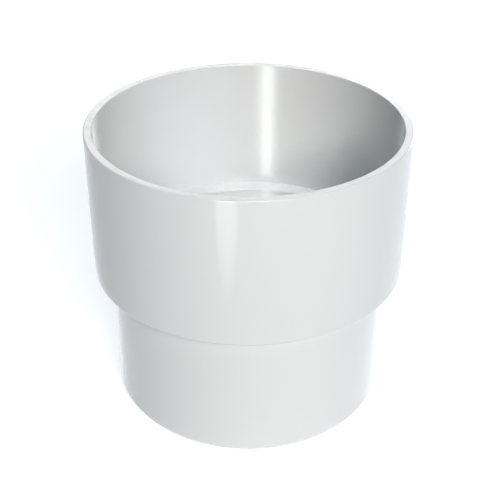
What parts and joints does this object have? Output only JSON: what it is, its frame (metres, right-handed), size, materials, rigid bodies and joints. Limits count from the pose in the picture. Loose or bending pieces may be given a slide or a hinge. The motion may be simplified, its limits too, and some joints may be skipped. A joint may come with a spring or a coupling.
{
  "type": "pipe reducer",
  "caption": "Concentric glossy white plastic pipe reducer: an upright tapered socket steps in at a stop shoulder to a narrower straight spigot.",
  "frame": {"origin": "centre of the spigot's end, on the surface that the fitting stands on", "axes": "+Z along the pipe axis, from the spigot towards the socket's mouth; the fitting is round, so X and Y are alike"},
  "size_m": [0.1164, 0.1164, 0.1081],
  "materials": {
    "white_plastic": "glossy injection-moulded white PVC-U"
  },
  "bodies": {
    "root": {"pipe_socket": "white_plastic", "stop_shoulder": "white_plastic", "spigot": "white_plastic"}
  },
  "joints": []
}
